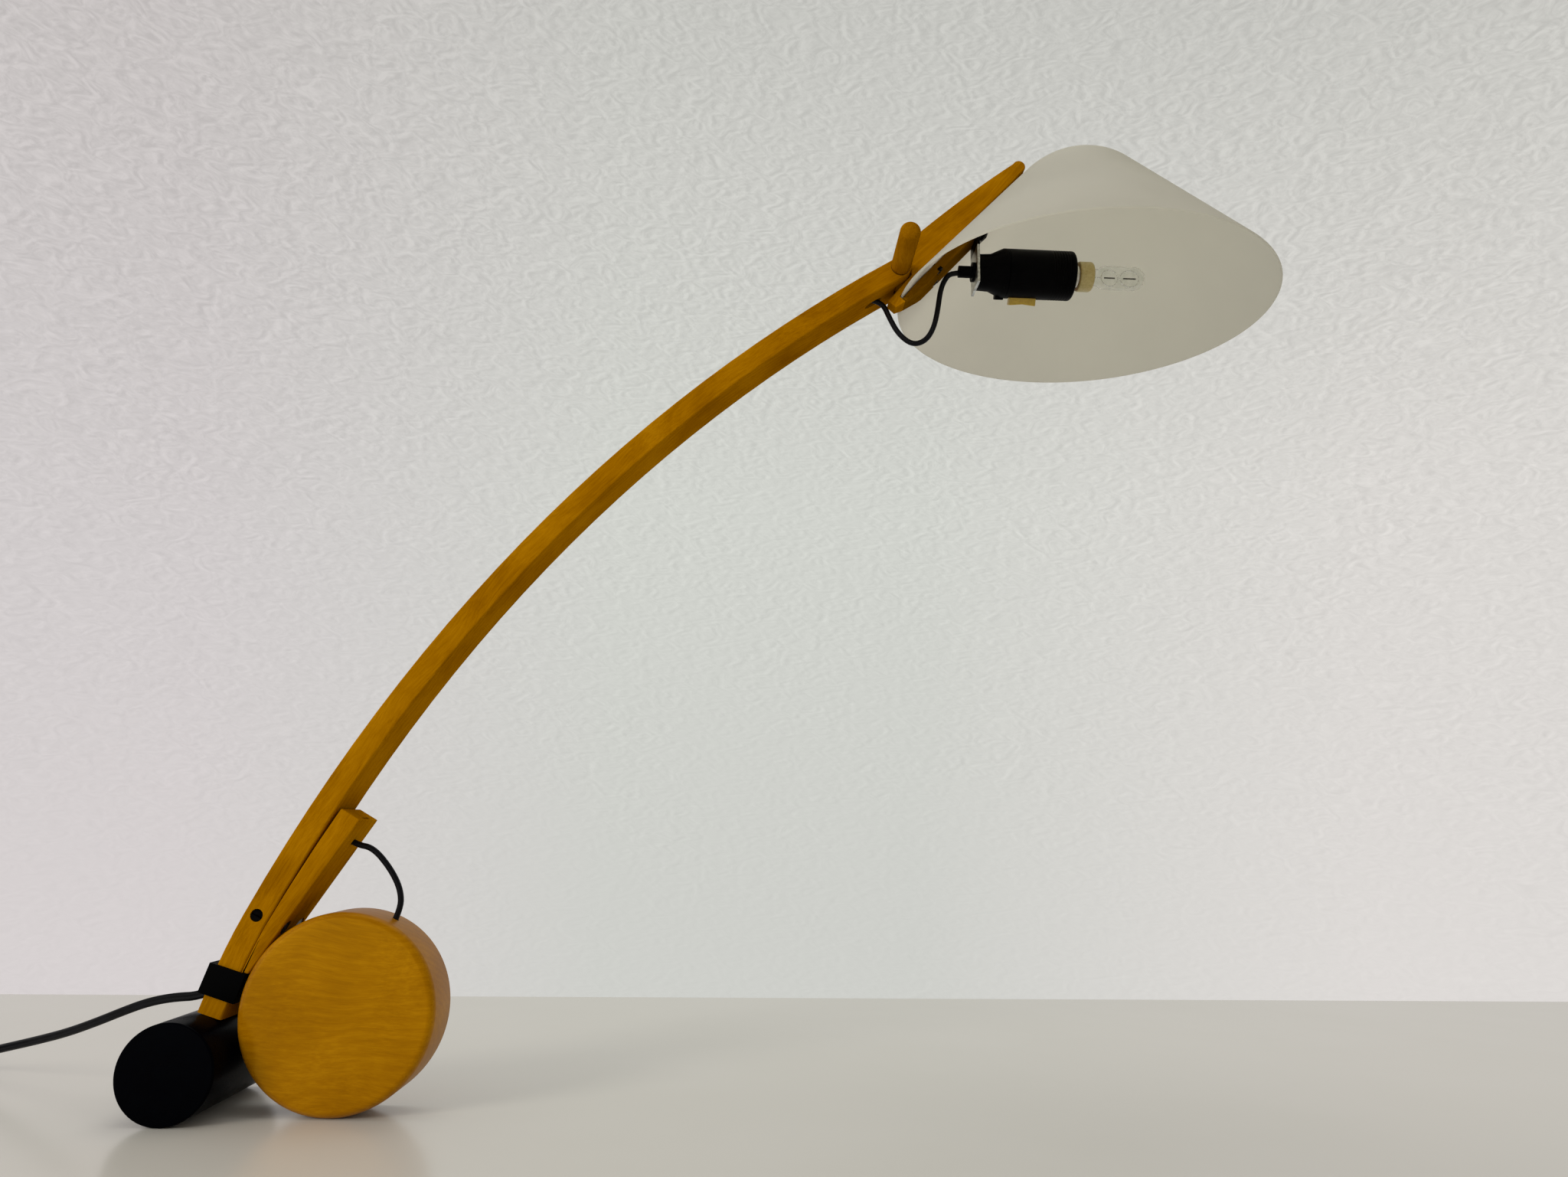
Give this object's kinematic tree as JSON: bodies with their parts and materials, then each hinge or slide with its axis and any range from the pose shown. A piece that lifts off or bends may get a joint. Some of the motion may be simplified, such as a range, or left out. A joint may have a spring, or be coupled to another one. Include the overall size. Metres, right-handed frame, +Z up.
{
  "type": "magnetic balance lamp",
  "caption": "Desk lamp with a bent wooden arm that balances between a steel bar and a sliding magnetic wooden wheel, with a tilting frosted cone shade and a rocker switch.",
  "frame": {"origin": "on the table surface, straight under the wheel's axis, in the arm's middle plane", "axes": "+X from the counterweight towards the shade, +Y away from the handle's side, +Z up"},
  "size_m": [0.8337, 0.228, 0.5722],
  "materials": {
    "black_lacquer": "gloss",
    "steel": "satin",
    "dark_steel": "satin",
    "amber_beech": "satin lacquer",
    "black_rubber": "matte",
    "black_plastic": "satin",
    "frosted_acrylic": "frosted",
    "cream_plastic": "satin",
    "cream_ceramic": "glazed",
    "brass": "plain",
    "plated_pin": "polished",
    "clear_glass": "clear"
  },
  "bodies": {
    "stand": {"counterweight": "black_lacquer", "foot_stud": "steel", "arm": "amber_beech", "arm_wire": "black_rubber", "arm_band": "black_plastic", "band_screw": "dark_steel", "track": "amber_beech", "track_screws": "steel", "cross_nuts": "dark_steel", "track_steel": "steel", "tether": "black_rubber", "pivot_bolt": "steel", "friction_washers": "black_plastic", "handle_washer": "steel", "head_lead": "black_rubber", "mains_cord": "black_rubber", "plug_tail": "black_rubber", "cord_coil": "black_rubber", "plug_body": "black_rubber", "plug_pins": "plated_pin"},
    "wheel": {"wheel_shell": "amber_beech", "wheel_back": "amber_beech", "wheel_core": "steel", "wheel_screws": "steel", "core_screws": "steel", "wheel_magnet": "steel", "magnet_yoke": "steel", "tether_stop": "black_plastic"},
    "handle": {"handle": "amber_beech", "handle_insert": "brass"},
    "head": {"head_finger": "amber_beech", "head_leaf": "amber_beech", "clamp_screws": "dark_steel", "shade": "frosted_acrylic", "lamp_bracket": "steel", "bracket_screw": "dark_steel", "cord_grip": "black_plastic", "grip_nut": "steel", "holder_cap": "black_plastic", "holder_barrel": "black_plastic", "holder_insert": "cream_ceramic", "holder_thread": "brass", "holder_contact": "brass", "switch_contacts": "brass", "switch_pin": "steel", "bulb_cap": "brass", "bulb_collar": "cream_ceramic", "bulb_capsule": "clear_glass", "bulb_filament": "steel"},
    "rocker": {"switch_rocker": "cream_plastic"}
  },
  "joints": [
    {"name": "wheel_travel", "type": "slide", "parent": "stand", "child": "wheel", "axis": [0.5225, 0, 0.8526], "range_m": [-0.002, 0.035], "deforming": ["tether"]},
    {"name": "head_tilt", "type": "hinge", "parent": "stand", "child": "head", "pos_m": [0.28927, 0, 0.4839], "axis": [0, -1, 0], "range_deg": [-12, 25], "deforming": ["head_lead"]},
    {"name": "handle_turn", "type": "hinge", "parent": "stand", "child": "handle", "pos_m": [0.28927, -0.036, 0.4839], "axis": [0, 1, 0], "range_deg": [-30, 360]},
    {"name": "rocker_tilt", "type": "hinge", "parent": "head", "child": "rocker", "pos_m": [0.36864, 0.00455, 0.48155], "axis": [0, 0.8829, 0.4695], "range_deg": [-8, 8]}
  ]
}
